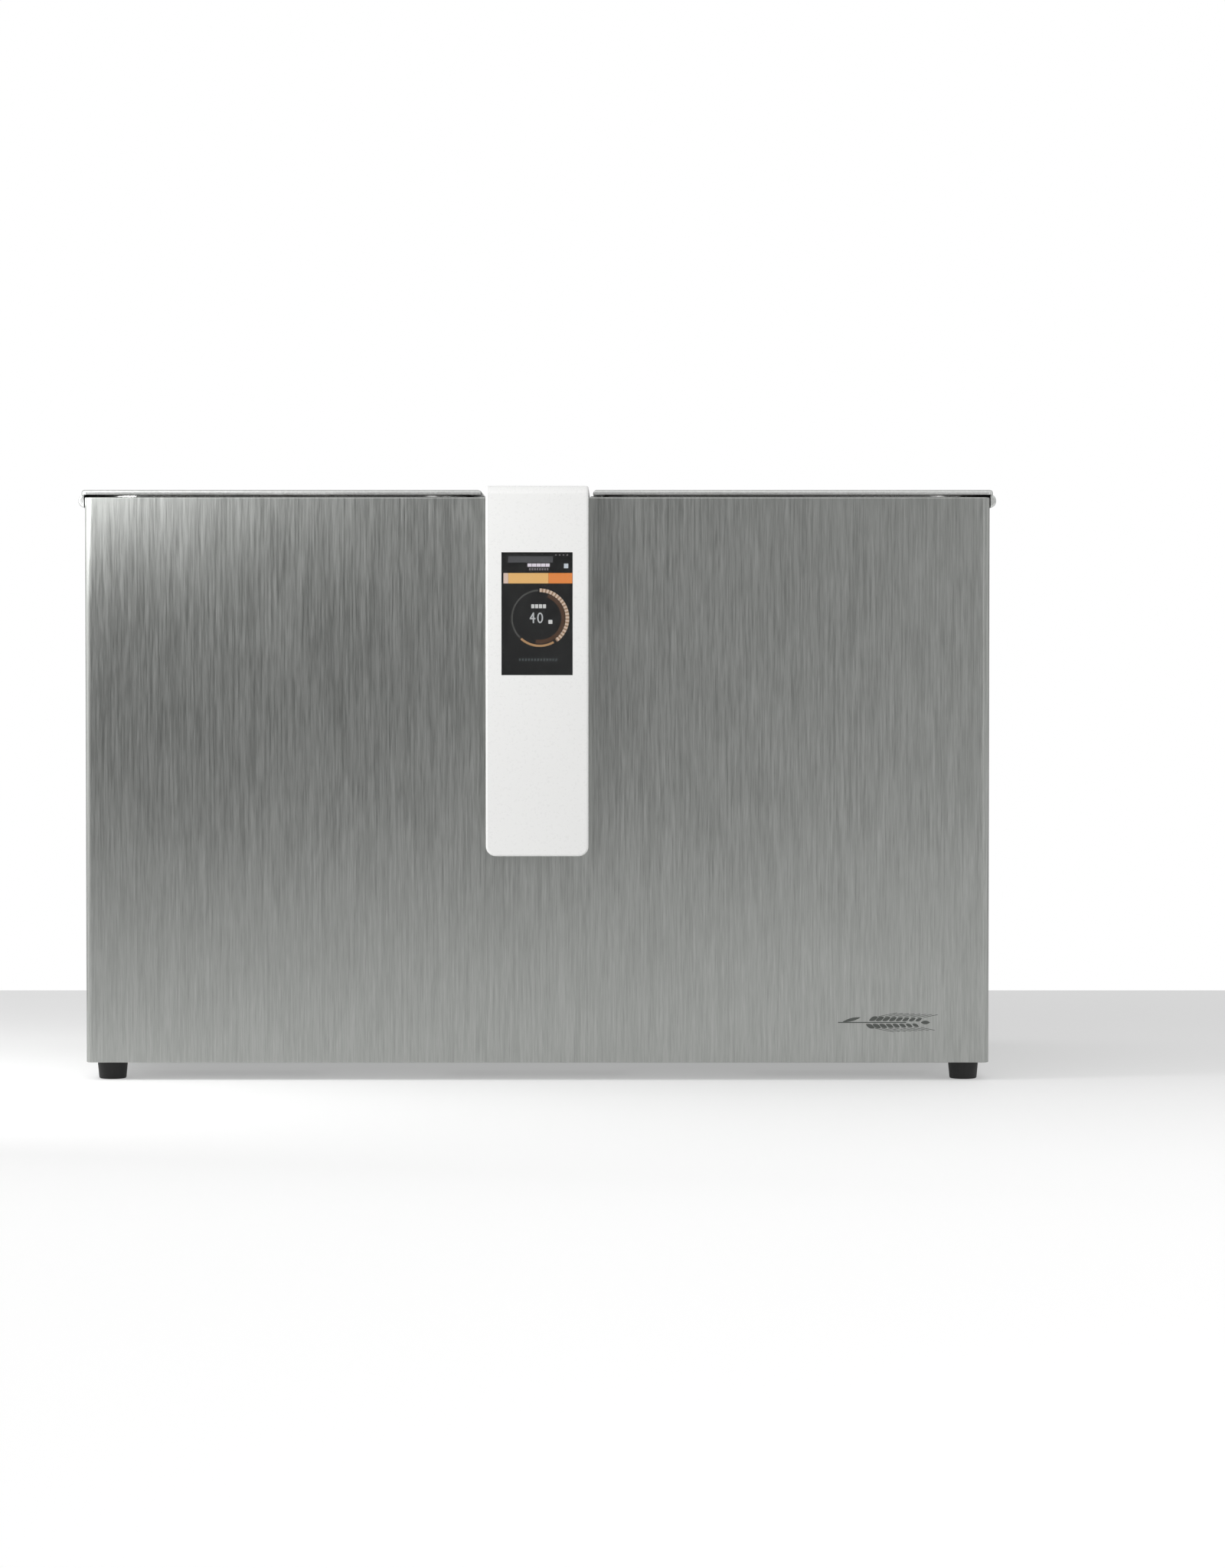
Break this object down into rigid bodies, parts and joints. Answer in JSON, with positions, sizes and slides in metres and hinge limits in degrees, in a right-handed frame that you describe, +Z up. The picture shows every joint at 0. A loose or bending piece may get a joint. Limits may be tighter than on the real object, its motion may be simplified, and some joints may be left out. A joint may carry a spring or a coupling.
{
  "type": "electric all in one brewer",
  "caption": "Countertop brewing machine: brushed-steel case with two hinged lids over a mash kettle and a boil kettle, a white centre fascia with a touch display, and a hop hatch.",
  "frame": {"origin": "on the worktop, under the middle of the machine's overall box", "axes": "+Z up, front towards -Y, +X to the viewer's right when facing the front"},
  "size_m": [0.6372, 0.37, 0.413],
  "materials": {
    "case_steel": "vertical brushed, satin",
    "panel_steel": "mill finish",
    "kettle_steel": "drawn and polished",
    "heater_steel": "satin, slightly heat tinted",
    "wire_steel": "bright drawn",
    "white_shell": "white, soft gloss",
    "screen_glass": "black cover glass",
    "display_panel": "black",
    "circuit_board": "green solder mask",
    "foot_rubber": "black, matte",
    "silicone": "translucent silicone",
    "pump_plastic": "black, moulded",
    "inlet_plastic": "black, moulded",
    "valve_plastic": "natural high-temperature plastic",
    "valve_brass": "turned",
    "port_steel": "turned",
    "supply_metal": "plated box",
    "cable_sheath": "grey PVC",
    "display_ui": "lit screen graphics",
    "etched_mark": "dark etched mark"
  },
  "bodies": {
    "chassis": {"base_tray": "panel_steel", "boil_filter": "kettle_steel", "boil_heater": "heater_steel", "boil_pump": "pump_plastic", "boil_tank": "kettle_steel", "casing_screws": "wire_steel", "chiller": "port_steel", "control_board": "circuit_board", "display_board": "circuit_board", "electronics_bracket": "panel_steel", "fan_frame": "pump_plastic", "fascia": "white_shell", "foot_front_left": "foot_rubber", "foot_front_right": "foot_rubber", "foot_rear_left": "foot_rubber", "foot_rear_right": "foot_rubber", "hatch_pin": "wire_steel", "hinge_brackets": "wire_steel", "hinge_pins": "wire_steel", "hop_cages": "kettle_steel", "hop_chamber": "kettle_steel", "hoses": "silicone", "lcd_module": "display_panel", "mash_heater": "heater_steel", "mash_pump": "pump_plastic", "mash_tank": "kettle_steel", "outer_wrap": "case_steel", "power_inlet": "inlet_plastic", "power_supply": "supply_metal", "rear_outlets": "port_steel", "rear_panel": "panel_steel", "return_spouts": "kettle_steel", "spine_frame": "white_shell", "temperature_probes": "kettle_steel", "top_deck": "panel_steel", "touch_glass": "screen_glass", "valve_actuators": "pump_plastic", "valve_manifold": "valve_plastic", "water_inlet_valve": "valve_brass", "wiring": "cable_sheath"},
    "lid_left": {"lid_left_cover": "case_steel", "lid_left_liner": "kettle_steel", "lid_left_gasket": "silicone"},
    "lid_right": {"lid_right_cover": "case_steel", "lid_right_liner": "kettle_steel", "lid_right_gasket": "silicone"},
    "hop_hatch": {"hop_hatch": "white_shell"},
    "malt_basket": {"malt_basket": "kettle_steel", "basket_screen": "kettle_steel"},
    "basket_handle_front": {"basket_handle_front": "wire_steel"},
    "basket_handle_rear": {"basket_handle_rear": "wire_steel"},
    "mash_impeller": {"mash_impeller": "pump_plastic"},
    "boil_impeller": {"boil_impeller": "pump_plastic"},
    "valve_spindle_1": {"valve_spindle_1": "valve_brass"},
    "valve_spindle_2": {"valve_spindle_2": "valve_brass"},
    "valve_spindle_3": {"valve_spindle_3": "valve_brass"},
    "valve_spindle_4": {"valve_spindle_4": "valve_brass"},
    "inlet_plunger": {"inlet_plunger": "port_steel"},
    "power_rocker": {"power_rocker": "inlet_plastic"},
    "fan_rotor": {"fan_rotor": "pump_plastic"}
  },
  "joints": [
    {"name": "lid_left_hinge", "type": "hinge", "parent": "chassis", "child": "lid_left", "pos_m": [-0.0412, -0.006, 0.4081], "axis": [0, 1, 0], "range_deg": [0, 92]},
    {"name": "lid_right_hinge", "type": "hinge", "parent": "chassis", "child": "lid_right", "pos_m": [0.0412, -0.006, 0.4081], "axis": [0, -1, 0], "range_deg": [0, 92]},
    {"name": "hop_hatch_hinge", "type": "hinge", "parent": "chassis", "child": "hop_hatch", "pos_m": [0, 0.118, 0.4096], "axis": [-1, 0, 0], "range_deg": [0, 95]},
    {"name": "basket_lift", "type": "slide", "parent": "chassis", "child": "malt_basket", "axis": [0, 0, 1], "range_m": [0, 0.045]},
    {"name": "front_handle_pivot", "type": "hinge", "parent": "malt_basket", "child": "basket_handle_front", "pos_m": [-0.178, -0.147, 0.308], "axis": [1, 0, 0], "range_deg": [0, 170]},
    {"name": "rear_handle_pivot", "type": "hinge", "parent": "malt_basket", "child": "basket_handle_rear", "pos_m": [-0.178, 0.135, 0.308], "axis": [-1, 0, 0], "range_deg": [0, 170]},
    {"name": "mash_impeller_spin", "type": "hinge", "parent": "chassis", "child": "mash_impeller", "pos_m": [-0.178, -0.042, 0.058], "axis": [0, 1, 0], "continuous": true},
    {"name": "boil_impeller_spin", "type": "hinge", "parent": "chassis", "child": "boil_impeller", "pos_m": [0.178, -0.042, 0.058], "axis": [0, 1, 0], "continuous": true},
    {"name": "valve_turn_1", "type": "hinge", "parent": "chassis", "child": "valve_spindle_1", "pos_m": [0, -0.107, 0.04], "axis": [0, 0, 1], "range_deg": [0, 90]},
    {"name": "valve_turn_2", "type": "hinge", "parent": "chassis", "child": "valve_spindle_2", "pos_m": [0, -0.065, 0.04], "axis": [0, 0, 1], "range_deg": [0, 90]},
    {"name": "valve_turn_3", "type": "hinge", "parent": "chassis", "child": "valve_spindle_3", "pos_m": [0, -0.023, 0.04], "axis": [0, 0, 1], "range_deg": [0, 90]},
    {"name": "valve_turn_4", "type": "hinge", "parent": "chassis", "child": "valve_spindle_4", "pos_m": [0, 0.019, 0.04], "axis": [0, 0, 1], "range_deg": [0, 90]},
    {"name": "inlet_plunger_lift", "type": "slide", "parent": "chassis", "child": "inlet_plunger", "axis": [0, 0, 1], "range_m": [0, 0.003], "stiffness_N_per_m": 200, "springref_m": -0.002},
    {"name": "power_rocker_tilt", "type": "hinge", "parent": "chassis", "child": "power_rocker", "pos_m": [-0.245, 0.1602, 0.06], "axis": [1, 0, 0], "range_deg": [0, 16]},
    {"name": "fan_spin", "type": "hinge", "parent": "chassis", "child": "fan_rotor", "pos_m": [0, 0.148, 0.195], "axis": [0, 1, 0], "continuous": true}
  ]
}
